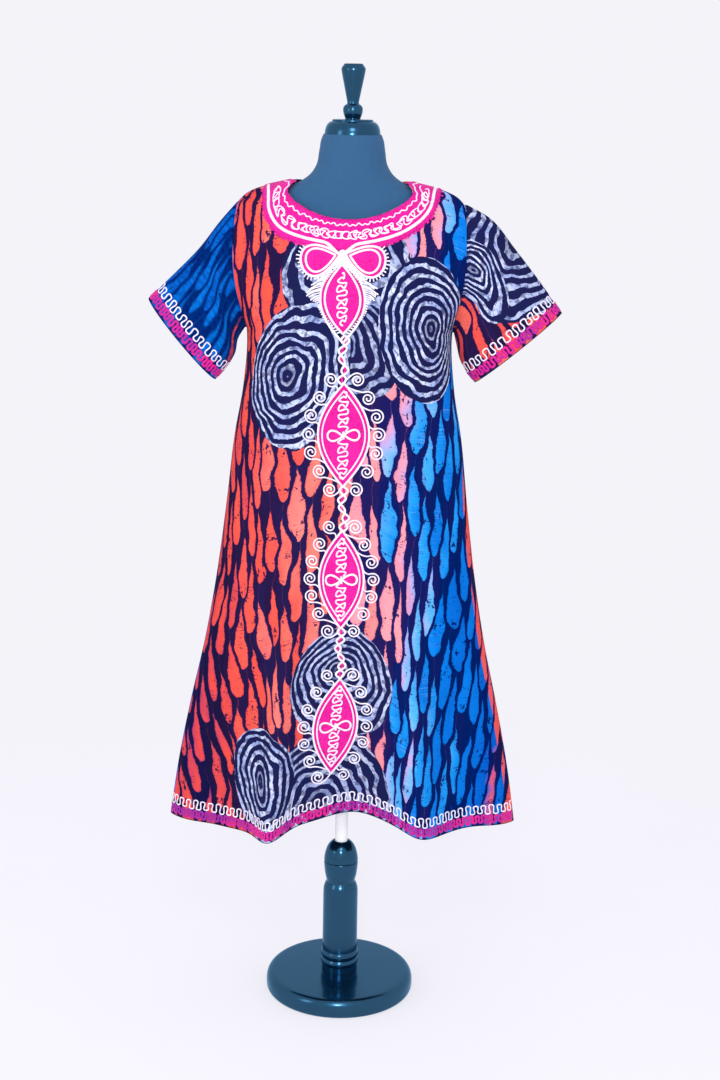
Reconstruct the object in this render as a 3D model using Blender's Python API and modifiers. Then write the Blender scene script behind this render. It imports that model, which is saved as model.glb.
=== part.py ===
"""An A-line wax print dress worn by a limbless dress form on a turned stand.

The dress is cut as a front, a back and two short flared sleeves, with a yoke and
a row of almond medallions embroidered down the front. It hangs from the shoulders
of a padded torso, whose pole slides in the stand's column under a lock collar.
Metres, +Z up, the wearer's front towards -Y, the origin under the base disc.
"""
from collections import namedtuple
from math import cos, pi, sin

import bpy
import numpy as np
from mathutils import Vector
from mathutils.bvhtree import BVHTree

for leftover in list(bpy.data.objects):
    bpy.data.objects.remove(leftover, do_unlink=True)

# Driving dimensions
CLOTH = 0.0012                 # wall of the cotton print, with its turnings
SEAM_GAP = 0.0003              # between two pieces that are sewn together
SHOULDER_TURNING = 0.0006      # more room where the seam runs along the shoulder
SKIRT_TURNING = 0.0008         # more room where the skirt's sides are pressed to an edge
EMBROIDERY = 0.0010            # dense satin stitch standing on the cloth
EMBROIDERY_LIFT = 0.0013       # clear of the cloth's facets
UNDERARM, SHOULDER_TIP, NECK_POINT = 1.325, 1.556, 1.591   # heights on the side edge
FRONT_NECK_DROP, BACK_NECK_DROP = 0.062, 0.016             # below the neck points
ARMHOLE_DEPTH = 0.052          # of the armhole's edge before and behind the seam
SLEEVE_START = 0.020           # part of a sleeve's length that its armhole seam takes
SEAT = 0.860                   # underside of the torso
POLE_RADIUS, POLE_FOOT = 0.0125, 0.150
BORE_RADIUS = 0.0131           # in the column and in the lock collar
DISC_TOP, COLLAR_SEAT, COLLAR_TOP = 0.0365, 0.2710, 0.3120

# The dress, level by level: half its width at the side edge, and how far its middle
# reaches before and behind the side seams
Level = namedtuple("Level", "height half_width front back")
DRESS = (
    Level(0.300, 0.347, 0.128, 0.160),
    Level(0.370, 0.337, 0.127, 0.156),
    Level(0.480, 0.320, 0.126, 0.150),
    Level(0.600, 0.296, 0.125, 0.144),
    Level(0.720, 0.269, 0.124, 0.137),
    Level(0.850, 0.246, 0.124, 0.128),
    Level(1.000, 0.226, 0.124, 0.114),
    Level(1.120, 0.212, 0.126, 0.103),
    Level(1.220, 0.195, 0.130, 0.102),
    Level(1.325, 0.190, 0.135, 0.108),
    Level(1.400, 0.206, 0.134, 0.108),
    Level(1.450, 0.211, 0.126, 0.104),
    Level(1.500, 0.210, 0.110, 0.094),
    Level(1.530, 0.208, 0.093, 0.083),
    Level(1.556, 0.201, 0.076, 0.070),
    Level(1.570, 0.183, 0.064, 0.060),
    Level(1.583, 0.146, 0.050, 0.050),
    Level(1.591, 0.112, 0.040, 0.044),
)

# Soft flutes of the skirt: where each meets the hem, how far it stands out of the
# round there, how wide it is, and the height at which it has died away
Flute = namedtuple("Flute", "side across reach width fades_at")
FLUTES = (
    Flute(-1, -0.128, 0.066, 0.034, 1.05),
    Flute(-1, 0.030, -0.040, 0.075, 0.85),
    Flute(-1, 0.160, 0.042, 0.042, 1.12),
    Flute(-1, -0.250, -0.016, 0.045, 0.80),
    Flute(-1, 0.262, -0.020, 0.045, 0.90),
    Flute(1, -0.165, 0.046, 0.045, 1.00),
    Flute(1, -0.030, -0.034, 0.065, 0.90),
    Flute(1, 0.110, 0.048, 0.042, 1.05),
    Flute(1, 0.225, -0.020, 0.045, 0.85),
)

# The hem's height across the front and back, as parts of the half width
Hem = namedtuple("Hem", "across front back")
HEM = (
    Hem(-1.00, 0.358, 0.358), Hem(-0.62, 0.364, 0.362), Hem(-0.42, 0.371, 0.368),
    Hem(-0.20, 0.392, 0.374), Hem(0.10, 0.408, 0.372), Hem(0.32, 0.393, 0.366),
    Hem(0.50, 0.378, 0.366), Hem(0.72, 0.374, 0.368), Hem(1.00, 0.368, 0.368),
)

# Sleeves, from the armhole to the cuff: the fold along the top, the underarm seam,
# and half the depth. The wearer's left sleeve stands a little wider.
Sleeve = namedtuple("Sleeve", "along top_x top_z under_x under_z depth")
RIGHT_SLEEVE = (
    Sleeve(0.00, 0.2010, 1.5560, 0.1900, 1.3250, 0.052),
    Sleeve(0.25, 0.2400, 1.5120, 0.2060, 1.2990, 0.058),
    Sleeve(0.50, 0.2770, 1.4650, 0.2120, 1.2720, 0.056),
    Sleeve(0.75, 0.3220, 1.4190, 0.2270, 1.2470, 0.051),
    Sleeve(1.00, 0.3720, 1.3710, 0.2480, 1.2230, 0.046),
)
LEFT_SLEEVE = (
    Sleeve(0.00, 0.2010, 1.5560, 0.1900, 1.3250, 0.052),
    Sleeve(0.25, 0.2550, 1.5260, 0.1975, 1.2960, 0.060),
    Sleeve(0.50, 0.2980, 1.4760, 0.2045, 1.2720, 0.058),
    Sleeve(0.75, 0.3420, 1.4220, 0.2170, 1.2490, 0.053),
    Sleeve(1.00, 0.3880, 1.3620, 0.2330, 1.2300, 0.048),
)

# The torso, from the neck down
Ring = namedtuple("Ring", "height half_width front back")
TORSO = (
    Ring(1.6730, 0.0520, 0.050, 0.050),
    Ring(1.6650, 0.0556, 0.053, 0.053),
    Ring(1.6450, 0.0592, 0.055, 0.056),
    Ring(1.6140, 0.0665, 0.058, 0.060),
    Ring(1.6000, 0.0770, 0.059, 0.058),
    Ring(1.5870, 0.0960, 0.059, 0.050),
    Ring(1.5740, 0.1230, 0.060, 0.049),
    Ring(1.5550, 0.1540, 0.064, 0.056),
    Ring(1.5250, 0.1750, 0.078, 0.068),
    Ring(1.4800, 0.1860, 0.100, 0.082),
    Ring(1.4200, 0.1860, 0.118, 0.093),
    Ring(1.3600, 0.1780, 0.122, 0.095),
    Ring(1.2800, 0.1680, 0.113, 0.090),
    Ring(1.1800, 0.1500, 0.095, 0.080),
    Ring(1.1000, 0.1440, 0.088, 0.078),
    Ring(1.0000, 0.1620, 0.097, 0.092),
    Ring(0.9200, 0.1800, 0.104, 0.104),
    Ring(0.8700, 0.1840, 0.104, 0.106),
    Ring(0.8600, 0.1780, 0.100, 0.102),
)

collection = bpy.data.collections.new("Wax print dress on a dress form")
bpy.context.scene.collection.children.link(collection)


def finish(name, colour, roughness, metallic=0.0):
    """A Principled material in one colour."""
    material = bpy.data.materials.new(name)
    material.use_nodes = True
    shader = material.node_tree.nodes["Principled BSDF"]
    shader.inputs["Base Color"].default_value = (*colour, 1.0)
    shader.inputs["Roughness"].default_value = roughness
    shader.inputs["Metallic"].default_value = metallic
    return material


def place(name, vertices, faces, material, smooth=True):
    """One named object from a computed mesh."""
    mesh = bpy.data.meshes.new(name)
    mesh.from_pydata([tuple(v) for v in vertices], [], faces)
    mesh.validate()
    mesh.materials.append(material)
    if smooth:
        mesh.shade_smooth()
    piece = bpy.data.objects.new(name, mesh)
    collection.objects.link(piece)
    return piece


def wall(piece, thickness):
    """Gives an open surface its thickness, on the inner side."""
    shell = piece.modifiers.new("Cloth", 'SOLIDIFY')
    shell.thickness = thickness
    shell.offset = -1.0
    return piece


def between(rows, key, column, at):
    """A smooth value of one column of a table, read along its key column."""
    keys = np.array([getattr(row, key) for row in rows])
    values = np.array([getattr(row, column) for row in rows])
    if keys[0] > keys[-1]:
        keys, values = keys[::-1], values[::-1]
    slopes = np.gradient(values, keys)
    at = np.clip(at, keys[0], keys[-1])
    i = np.clip(np.searchsorted(keys, at) - 1, 0, len(keys) - 2)
    span = keys[i + 1] - keys[i]
    t = (at - keys[i]) / span
    return ((2*t**3 - 3*t**2 + 1) * values[i] + (t**3 - 2*t**2 + t) * span * slopes[i]
            + (3*t**2 - 2*t**3) * values[i + 1] + (t**3 - t**2) * span * slopes[i + 1])


def ease(t):
    t = np.clip(t, 0.0, 1.0)
    return t * t * (3.0 - 2.0 * t)


def armhole_edge(z):
    """How far the armhole's edge stands before or behind the seam plane at a height."""
    middle, half = (SHOULDER_TIP + UNDERARM) / 2, (SHOULDER_TIP - UNDERARM) / 2
    return ARMHOLE_DEPTH * np.sqrt(np.clip(1.0 - ((z - middle) / half) ** 2, 0.0, 1.0))


def panel_point(side, across, up):
    """A point of the front (side -1) or back (side 1) panel.

    across runs from -1 to 1 between the side edges, up from 0 at the hem to 1 at
    the neckline, level by level.
    """
    hem = between(HEM, "across", "front" if side < 0 else "back", across)
    drop = FRONT_NECK_DROP if side < 0 else BACK_NECK_DROP
    top = NECK_POINT - drop * (1.0 - ease(1.12 * abs(across) ** 1.2))
    z = hem + (top - hem) * up
    x = across * between(DRESS, "height", "half_width", z)
    depth = between(DRESS, "height", "front" if side < 0 else "back", z)
    flatness = 0.5 + 0.3 * ease((z - 1.30) / 0.14) + 0.22 * ease((0.80 - z) / 0.40)
    round_ = np.clip(1.0 - across * across, 0.0, 1.0) ** flatness
    y = depth * round_ + armhole_edge(z) * (1.0 - round_) ** 2
    for flute in FLUTES:
        if flute.side == side:
            grown = ease((flute.fades_at - z) / (flute.fades_at - 0.36)) ** 1.2
            width = flute.width * (0.65 + 0.35 * grown)
            offset = (across * 0.337 - flute.across) / width
            y = y + flute.reach * grown * np.exp(-offset * offset) * np.sqrt(round_)
    seam = (SEAM_GAP + SHOULDER_TURNING * ease((z - 1.50) / 0.05)
            + SKIRT_TURNING * ease((0.80 - z) / 0.30))
    return np.array([x, side * (y + seam), z])


def heights(side, counts):
    """Rows of a panel as parts of its height, with rows on the underarm and the tip."""
    hem = HEM[0].front if side < 0 else HEM[0].back
    stops = (hem, UNDERARM, SHOULDER_TIP, NECK_POINT)
    rows = []
    for low, high, count in zip(stops, stops[1:], counts):
        rows += list(np.linspace(low, high, count, endpoint=False))
    rows.append(NECK_POINT)
    return [(z - hem) / (NECK_POINT - hem) for z in rows]


def grid_faces(columns, rows, flip, closed=False):
    """Quads of a grid that is stored row by row."""
    faces = []
    for row in range(rows - 1):
        for column in range(columns if closed else columns - 1):
            after = (column + 1) % columns
            quad = [row * columns + column, row * columns + after,
                    (row + 1) * columns + after, (row + 1) * columns + column]
            faces.append(quad[::-1] if flip else quad)
    return faces


def panel(name, side, columns, counts, material):
    """The front or back panel, hem to neckline, as one wall of cloth."""
    rows = heights(side, counts)
    vertices = [panel_point(side, sin((column / (columns - 1) - 0.5) * pi), up)
                for up in rows for column in range(columns)]
    piece = place(name, vertices, grid_faces(columns, len(rows), flip=side > 0), material)
    return wall(piece, CLOTH)


def sleeve(name, sign, table, around, along, material):
    """A short flared sleeve, lofted from the armhole's loop to the flat oval cuff."""
    middle, half = (SHOULDER_TIP + UNDERARM) / 2, (SHOULDER_TIP - UNDERARM) / 2
    vertices = []
    for step in range(along):
        t = SLEEVE_START + (1.0 - SLEEVE_START) * step / (along - 1)
        top = np.array([between(table, "along", "top_x", t), 0.0,
                        between(table, "along", "top_z", t)])
        under = np.array([between(table, "along", "under_x", t), 0.0,
                          between(table, "along", "under_z", t)])
        depth = between(table, "along", "depth", t)
        for k in range(around):
            angle = 2 * pi * k / around
            point = (top + under) / 2 + (top - under) / 2 * cos(angle)
            point[1] = -depth * sin(angle)
            z = middle + half * cos(angle)
            chord = (table[0].top_x + table[0].under_x) / 2 \
                + (table[0].top_x - table[0].under_x) / 2 * cos(angle)
            bulge = between(DRESS, "height", "half_width", z) - chord
            point[0] += (bulge + 3.0 * SEAM_GAP) * (1.0 - ease(t * 1.6))
            vertices.append((sign * point[0], point[1], point[2]))
    piece = place(name, vertices, grid_faces(around, along, flip=sign > 0, closed=True),
                  material)
    return wall(piece, CLOTH)


def on_front(x, z, lift):
    """A point of the front panel's own facets near x, z, moved out of the cloth."""
    def at(x_, z_):
        half = between(DRESS, "height", "half_width", z_)
        across = np.clip(x_ / half, -1.0, 1.0)
        hem = between(HEM, "across", "front", across)
        top = NECK_POINT - FRONT_NECK_DROP * (1.0 - ease(1.12 * abs(across) ** 1.2))
        return panel_point(-1, across, (z_ - hem) / (top - hem))
    step = 0.004
    here = at(x, z)
    normal = np.cross(at(x + step, z) - here, at(x, z + step) - here)
    facet = np.array(FRONT_FACETS.find_nearest(Vector(here))[0])
    return facet + normal / np.linalg.norm(normal) * lift


def almond(name, foot_x, foot, head_x, head, half_width, material):
    """An almond of embroidery that lies on the front, pointed at both ends."""
    rows, columns, vertices = 13, 7, []
    for row in range(rows):
        t = 0.04 + 0.92 * row / (rows - 1)
        z = foot + (head - foot) * t
        reach = half_width * sin(pi * t) ** 0.9
        for column in range(columns):
            x = foot_x + (head_x - foot_x) * t + reach * (2.0 * column / (columns - 1) - 1.0)
            vertices.append(on_front(x, z, EMBROIDERY_LIFT + EMBROIDERY))
    piece = place(name, vertices, grid_faces(columns, rows, flip=False), material)
    return wall(piece, EMBROIDERY)


def turned(name, profile, material, steps=32):
    """A turned piece: a profile down its outer side, spun by a Screw modifier."""
    points = [(radius, 0.0, z) for radius, z in profile]
    mesh = bpy.data.meshes.new(name)
    mesh.from_pydata(points, [(i, i + 1) for i in range(len(points) - 1)], [])
    mesh.materials.append(material)
    piece = bpy.data.objects.new(name, mesh)
    collection.objects.link(piece)
    lathe = piece.modifiers.new("Lathe", 'SCREW')
    lathe.steps = lathe.render_steps = steps
    lathe.use_merge_vertices = True
    lathe.merge_threshold = 0.00001
    lathe.use_smooth_shade = True
    return piece


PRINT = finish("wax_print_cotton", (0.16, 0.035, 0.06), 0.80)
THREAD = finish("pink_embroidery", (0.80, 0.02, 0.30), 0.55)
JERSEY = finish("form_jersey", (0.035, 0.075, 0.13), 0.85)
LACQUER = finish("black_lacquer", (0.015, 0.03, 0.05), 0.12)
WHITE_METAL = finish("white_pole", (0.80, 0.80, 0.82), 0.25)

# The cloth
front = panel("front_panel", -1, 31, (16, 6, 4), PRINT)
FRONT_FACETS = BVHTree.FromPolygons([vertex.co for vertex in front.data.vertices],
                                    [face.vertices for face in front.data.polygons])
back = panel("back_panel", 1, 25, (14, 6, 4), PRINT)
sleeve_right = sleeve("sleeve_right", -1, RIGHT_SLEEVE, 20, 7, PRINT)
sleeve_left = sleeve("sleeve_left", 1, LEFT_SLEEVE, 20, 7, PRINT)

# The embroidered yoke follows the neckline from seam to seam, 45 mm wide at its
# ends and at the throat, and lies on the front
YOKE_COLUMNS, YOKE_ROWS = 33, 5
yoke_vertices = []
for row in range(YOKE_ROWS):
    outward = row / (YOKE_ROWS - 1)
    for column in range(YOKE_COLUMNS):
        angle = pi * (column / (YOKE_COLUMNS - 1) - 0.5) * 0.93
        inner = (0.111 * sin(angle) ** 1.0, 1.586 - 0.055 * cos(angle) ** 0.9)
        outer = (0.153 * sin(angle) ** 1.0, 1.568 - 0.088 * cos(angle) ** 0.75)
        x = inner[0] + (outer[0] - inner[0]) * outward
        z = inner[1] + (outer[1] - inner[1]) * outward
        yoke_vertices.append(on_front(x, z, EMBROIDERY_LIFT + EMBROIDERY))
yoke = wall(place("neck_yoke", yoke_vertices,
                  grid_faces(YOKE_COLUMNS, YOKE_ROWS, flip=True), THREAD), EMBROIDERY)

Almond = namedtuple("Almond", "name foot_x foot head_x head half_width")
for row in (
    Almond("medallion_throat", -0.003, 1.329, -0.007, 1.454, 0.032),
    Almond("medallion_upper", 0.0, 1.052, 0.0, 1.243, 0.046),
    Almond("medallion_middle", 0.0, 0.784, 0.0, 0.971, 0.041),
    Almond("medallion_lower", -0.016, 0.492, 0.0, 0.686, 0.041),
):
    almond(row.name, row.foot_x, row.foot, row.head_x, row.head, row.half_width, THREAD)

# The padded torso, lofted through its rings and closed at the neck and the seat
AROUND = 32
torso_vertices = []
for ring in TORSO:
    for k in range(AROUND):
        angle = 2 * pi * k / AROUND
        depth = ring.back if sin(angle) > 0 else ring.front
        torso_vertices.append((ring.half_width * cos(angle), depth * sin(angle), ring.height))
torso_faces = grid_faces(AROUND, len(TORSO), flip=True, closed=True)
torso_faces.append(list(range(AROUND)))
torso_faces.append([(len(TORSO) - 1) * AROUND + k for k in range(AROUND)][::-1])
torso = place("torso_form", torso_vertices, torso_faces, JERSEY)

# Turned pieces of the form and the stand, each profile from the top down
turned("neck_cap", (
    (0.0, 1.6990), (0.0350, 1.6990), (0.0369, 1.6976), (0.0371, 1.6954),
    (0.0405, 1.6946), (0.0455, 1.6905), (0.0487, 1.6840), (0.0500, 1.6780),
    (0.0503, 1.6733), (0.0, 1.6733)), LACQUER)
turned("finial", (
    (0.0, 1.7960), (0.0160, 1.7958), (0.0174, 1.7940), (0.0205, 1.7900), (0.0218, 1.7860),
    (0.0212, 1.7820), (0.0104, 1.7290), (0.0112, 1.7262), (0.0156, 1.7232),
    (0.0178, 1.7175), (0.0172, 1.7105), (0.0150, 1.7040), (0.0138, 1.6993),
    (0.0, 1.6993)), LACQUER, 24)
turned("pole", (
    (0.0, SEAT - 0.0003), (POLE_RADIUS, SEAT - 0.0003), (POLE_RADIUS, POLE_FOOT),
    (0.0, POLE_FOOT)), WHITE_METAL, 24)
turned("lock_collar", (
    (BORE_RADIUS, COLLAR_TOP), (0.0170, COLLAR_TOP - 0.0012), (0.0225, 0.3062),
    (0.0275, 0.2980), (0.0310, 0.2880), (0.0332, 0.2780),
    (0.0336, COLLAR_SEAT + 0.0020), (0.0328, COLLAR_SEAT), (BORE_RADIUS, COLLAR_SEAT),
    (BORE_RADIUS, COLLAR_TOP)),
    LACQUER, 32)
turned("pedestal_column", (
    (BORE_RADIUS, COLLAR_SEAT - 0.0003), (0.0326, COLLAR_SEAT - 0.0003),
    (0.0334, 0.2660), (0.0326, 0.2520), (0.0306, 0.2400), (0.0282, 0.2310),
    (0.0280, 0.2250), (0.0305, 0.2180), (0.0338, 0.2080), (0.0344, 0.1500),
    (0.0346, 0.0850), (0.0344, 0.0790), (0.0358, 0.0765), (0.0370, 0.0720),
    (0.0362, 0.0670), (0.0344, 0.0645), (0.0366, 0.0615), (0.0374, 0.0575),
    (0.0364, 0.0530), (0.0350, 0.0510), (0.0354, DISC_TOP + 0.0003),
    (BORE_RADIUS, DISC_TOP + 0.0003), (BORE_RADIUS, COLLAR_SEAT - 0.0003)), LACQUER, 32)
turned("base_disc", (
    (0.0, DISC_TOP), (0.1320, DISC_TOP), (0.1375, 0.0350), (0.1425, 0.0310),
    (0.1450, 0.0250), (0.1457, 0.0180), (0.1457, 0.0090), (0.1438, 0.0030),
    (0.1390, 0.0), (0.0, 0.0)), LACQUER, 48)
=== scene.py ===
"""A wax print dress with machine embroidery, worn by a limbless dress form.

The sections follow the object as it is put together: the studio, the turned stand,
the pole and the padded torso, the four cut pieces of the dress, and then the
embroidery that is stitched on it. Metres, +Z up, the wearer's front towards -Y.
"""
from collections import namedtuple
from functools import partial
from math import cos, pi, radians, sin, tau

import bpy
import numpy as np
from mathutils import Matrix, Vector


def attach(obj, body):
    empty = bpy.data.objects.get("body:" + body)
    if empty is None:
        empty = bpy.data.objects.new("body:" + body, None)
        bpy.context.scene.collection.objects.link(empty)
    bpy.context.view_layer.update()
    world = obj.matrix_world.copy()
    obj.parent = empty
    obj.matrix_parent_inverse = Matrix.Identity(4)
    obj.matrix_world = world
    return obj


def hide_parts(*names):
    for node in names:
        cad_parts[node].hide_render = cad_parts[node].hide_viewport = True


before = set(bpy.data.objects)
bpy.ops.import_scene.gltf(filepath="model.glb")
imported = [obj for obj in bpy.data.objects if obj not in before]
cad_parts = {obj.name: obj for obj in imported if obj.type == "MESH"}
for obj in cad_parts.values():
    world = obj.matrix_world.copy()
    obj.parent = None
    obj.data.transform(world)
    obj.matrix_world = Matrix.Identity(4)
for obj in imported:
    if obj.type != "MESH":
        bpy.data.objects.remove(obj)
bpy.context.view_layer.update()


# ------------------------------------------------------------------ The studio
# The form stands on a wide sheet of pale studio vinyl, under an even white sky of
# diffusion cloth. One large softbox hangs high in front, a weaker one stands at
# the left, and a small flash head stands by the camera.
def linear(colour):
    """An sRGB hex colour, such as f4f3f9, as linear RGBA."""
    channels = [int(colour[i:i + 2], 16) / 255 for i in (0, 2, 4)]
    return [c / 12.92 if c <= 0.04045 else ((c + 0.055) / 1.055) ** 2.4 for c in channels] + [1.0]


def add(tree, kind, *sources, stops=(), **settings):
    """Adds one node and returns its first live output.

    kind may carry the node's operation or data type after a dot, and a kind in capitals
    is a Math node's operation. sources feed the live inputs in order: an output is
    linked, a value is set, None leaves an input alone. stops are a colour ramp's.
    """
    family = "ShaderNode" if tree.type == 'SHADER' else "GeometryNode"
    kind, _, operation = ("Math." + kind if kind.isupper() else kind).partition(".")
    node = tree.nodes.new(family + kind)
    if operation:
        setattr(node, "operation" if hasattr(node, "operation") else "data_type", operation)
    for name, value in settings.items():
        setattr(node, name, value)
    if stops:
        dyes = node.color_ramp.elements
        while len(dyes) < len(stops):
            dyes.new(0.5)
        for dye, (position, colour) in zip(dyes, stops):
            dye.position, dye.color = position, linear(colour)
    live = [socket for socket in node.inputs if socket.enabled]
    for socket, source in zip(live, sources):
        if isinstance(source, bpy.types.NodeSocket):
            tree.links.new(source, socket)
        elif source is not None:
            socket.default_value = source
    return next((socket for socket in node.outputs if socket.enabled), None)


def new_material(name, **finish):
    """A material with these constants, what adds nodes to it, and its shader."""
    material = bpy.data.materials.new(name)
    material.use_nodes = True
    shader = material.node_tree.nodes["Principled BSDF"]
    for socket, value in finish.items():
        shader.inputs[socket.replace("_", " ")].default_value = value
    return material, partial(add, material.node_tree), shader


def feed(shader, **sources):
    """Links each output to the shader's input of that name."""
    for socket, source in sources.items():
        shader.id_data.links.new(source, shader.inputs[socket.replace("_", " ")])


def table(columns, *rows):
    """Rows of values, each named by its column."""
    row = namedtuple("Row", columns)
    return [row(*values) for values in rows]


def piece_of(name, vertices, faces, material):
    """One named smooth piece from arrays of points and faces."""
    mesh = bpy.data.meshes.new(name)
    mesh.from_pydata(np.asarray(vertices, float).reshape(-1, 3).tolist(), [], faces)
    mesh.materials.append(material)
    mesh.shade_smooth()
    piece = bpy.data.objects.new(name, mesh)
    bpy.context.collection.objects.link(piece)
    return piece


def way_along(points):
    """Each point's distance from the first, along the line through them."""
    return np.concatenate([[0.0], np.cumsum(np.linalg.norm(np.diff(points, axis=0), axis=-1))])


def smooth(t, span, values, slopes, i):
    """A smooth curve's value, t of the way from its place i to the next."""
    return ((2*t**3 - 3*t**2 + 1) * values[i] + (t**3 - 2*t**2 + t) * span * slopes[i]
            + (3*t**2 - 2*t**3) * values[i + 1] + (t**3 - t**2) * span * slopes[i + 1])


def turned(name, profile, material, steps=96):
    """A turned piece. Its profile runs down the outer side as a flowing curve, and has
    an edge at each point that a None follows."""
    runs = [[]]
    for point in profile:
        if point is None:
            runs.append([runs[-1][-1]])
        else:
            runs[-1].append(point)
    line = []
    for run in map(np.array, runs):
        way = way_along(run)
        slopes = np.gradient(run, way, axis=0)
        for i in range(len(run) - 1):
            for t in np.linspace(0, 1, 2 if len(run) == 2 else 7):
                line.append(smooth(t, way[i + 1] - way[i], run, slopes, i))
    line = [line[0]] + [b for a, b in zip(line, line[1:]) if np.abs(b - a).max() > 1e-7]
    bored = np.abs(line[0] - line[-1]).max() < 1e-7
    vertices, rows = [], []
    for radius, z in line[:-1] if bored else line:
        if radius < 1e-7:
            rows.append([len(vertices)] * steps)
            vertices.append((0.0, 0.0, z))
        else:
            rows.append(range(len(vertices), len(vertices) + steps))
            vertices += [(radius * cos(tau * k / steps), radius * sin(tau * k / steps), z)
                         for k in range(steps)]
    faces = []
    for upper, lower in zip(rows, rows[1:] + rows[:1] if bored else rows[1:]):
        for k in range(steps):
            after = (k + 1) % steps
            quad = dict.fromkeys((lower[k], lower[after], upper[after], upper[k]))
            if len(quad) > 2:
                faces.append(list(quad))
    piece = piece_of(name, vertices, faces, material)
    piece.data.set_sharp_from_angle(angle=radians(50))
    return piece


PAPER_WHITE = "f4f3f9"
world = bpy.data.worlds.new("diffusion_sky")
world.use_nodes = True
world.node_tree.nodes["Background"].inputs["Color"].default_value = linear(PAPER_WHITE)
bpy.context.scene.world = world
bpy.context.scene.view_settings.view_transform = 'Standard'

camera = bpy.data.objects.new("camera", bpy.data.cameras.new("camera"))
camera.data.lens, camera.data.sensor_width = 61.67, 36.0
camera.matrix_world = (Matrix.Rotation(radians(3.0), 4, 'Z')
                       @ Matrix.Translation((0.0263, -3.40, 1.77))
                       @ Matrix.Rotation(radians(76.0), 4, 'X')
                       @ Matrix.Rotation(radians(1.02), 4, 'Z'))
bpy.context.collection.objects.link(camera)
bpy.context.scene.camera = camera

for box in table(
    "name place aim width height watts",
    ("softbox_high", (0.15, -3.3, 3.4), (0.0, 0.0, 0.9), 1.0, 1.0, 26.0),
    ("flash_by_camera", (0.1, -3.35, 1.80), (0.0, 0.0, 0.7), 0.40, 0.40, 36.0),
    ("softbox_left", (-2.6, -2.2, 1.9), (0.0, 0.0, 0.9), 0.8, 1.8, 14.0),
):
    lamp = bpy.data.lights.new(box.name, 'AREA')
    lamp.shape, lamp.size, lamp.size_y = 'RECTANGLE', box.width, box.height
    lamp.energy = box.watts
    light = bpy.data.objects.new(box.name, lamp)
    away = Vector(box.place) - Vector(box.aim)
    light.matrix_world = (Matrix.Translation(box.place)
                          @ away.to_track_quat('Z', 'Y').to_matrix().to_4x4())
    bpy.context.collection.objects.link(light)

# The vinyl is bright enough by itself that the form's shadow stays a faint one, and
# it fades into the sky's white well behind the stand.
vinyl, put, shader = new_material("studio_vinyl", Roughness=0.9, Specular_IOR_Level=0.0)
place = put("TexCoord").node.outputs["Object"]
fade = put("MapRange", put("VectorMath.LENGTH", place), 0.6, 2.6, 0.0, 1.0,
           interpolation_type='SMOOTHSTEP')
feed(shader, Base_Color=put("ValToRGB", put("TexNoise", place, 3.0),
                            stops=((0.0, "908f95"), (1.0, "949399"))))
near = put("AddShader", shader.outputs["BSDF"], put("Emission", linear(PAPER_WHITE), 0.69))
far = put("Emission", linear(PAPER_WHITE), 1.0)
feed(vinyl.node_tree.nodes["Material Output"], Surface=put("MixShader", fade, near, far))
floor = turned("floor", ((0.0, 0.0), (1.0, 0.0), None, (3.0, 0.0), None, (60.0, 0.0)), vinyl)


# ------------------------------------------------- Base disc, column and collar
# Hardwood turned on a lathe and sprayed with black lacquer, rubbed to a gloss. The
# column stands on the disc, and the lock collar closes on the pole above it.
def ride_as(piece, body, slot, *nodes):
    """The piece rides on a body and stands for CAD nodes. Its slot is not used."""
    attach(piece, body)
    if nodes:
        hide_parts(*nodes)
    return piece


# Sprayed pearl lacquer over sanded hardwood: near-black with a deep blue sheen, with
# a faint ripple from the spray and a haze of dust and rubbing in soft patches all over.
lacquer, put, shader = new_material(
    "sprayed_black_lacquer", Metallic=0.92, Specular_Tint=linear("a8d6f6"),
    Coat_Weight=0.34, Coat_Roughness=0.09)
place = put("TexCoord").node.outputs["Object"]
haze = put("TexNoise", place, 14.0, 4.0)
ripple = put("TexNoise", place, 160.0, 2.0)
feed(shader, Roughness=put("MapRange", haze, 0.3, 0.8, 0.19, 0.28),
     Base_Color=put("ValToRGB", haze, stops=((0.0, "164664"), (1.0, "1e506d"))),
     Normal=put("Bump", 0.03, 0.0006, None, ripple))

BORE = 0.0131
base = turned("base_disc_turned", (
    (0.0, 0.0365), (0.1275, 0.0365), None, (0.1318, 0.0362), (0.1357, 0.0353),
    (0.1391, 0.0335), (0.1419, 0.0307), (0.1440, 0.0268), (0.1453, 0.0220),
    (0.1457, 0.0160), (0.1457, 0.0090), (0.1450, 0.0050), (0.1430, 0.0018), (0.1390, 0.0), None,
    (0.0, 0.0)), lacquer, 160)
ride_as(base, "stand", "lacquered_disc", "base_disc")
column = turned("column_turned", (
    (BORE, 0.2707), (0.0313, 0.2707), None, (0.0325, 0.2698), (0.0332, 0.2678), (0.0333, 0.2620),
    (0.0326, 0.2540), (0.0314, 0.2440), (0.0298, 0.2360), (0.0284, 0.2310),
    (0.0279, 0.2265), None, (0.0287, 0.2253), (0.0303, 0.2223), (0.0318, 0.2188),
    (0.0330, 0.2150), (0.0338, 0.2105), (0.0342, 0.2050), (0.0343, 0.1900), (0.0344, 0.1400),
    (0.0345, 0.0900), (0.0344, 0.0800), None, (0.0357, 0.0785), (0.0367, 0.0760),
    (0.0371, 0.0728), (0.0367, 0.0690), (0.0356, 0.0662), (0.0345, 0.0645), None, (0.0356, 0.0630),
    (0.0370, 0.0602), (0.0374, 0.0575), (0.0370, 0.0548), (0.0358, 0.0522),
    (0.0350, 0.0510), None, (0.0352, 0.0450), (0.0354, 0.0368), None,
    (BORE, 0.0368), None, (BORE, 0.2707)), lacquer)
ride_as(column, "stand", "black_lacquer", "pedestal_column")
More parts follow.
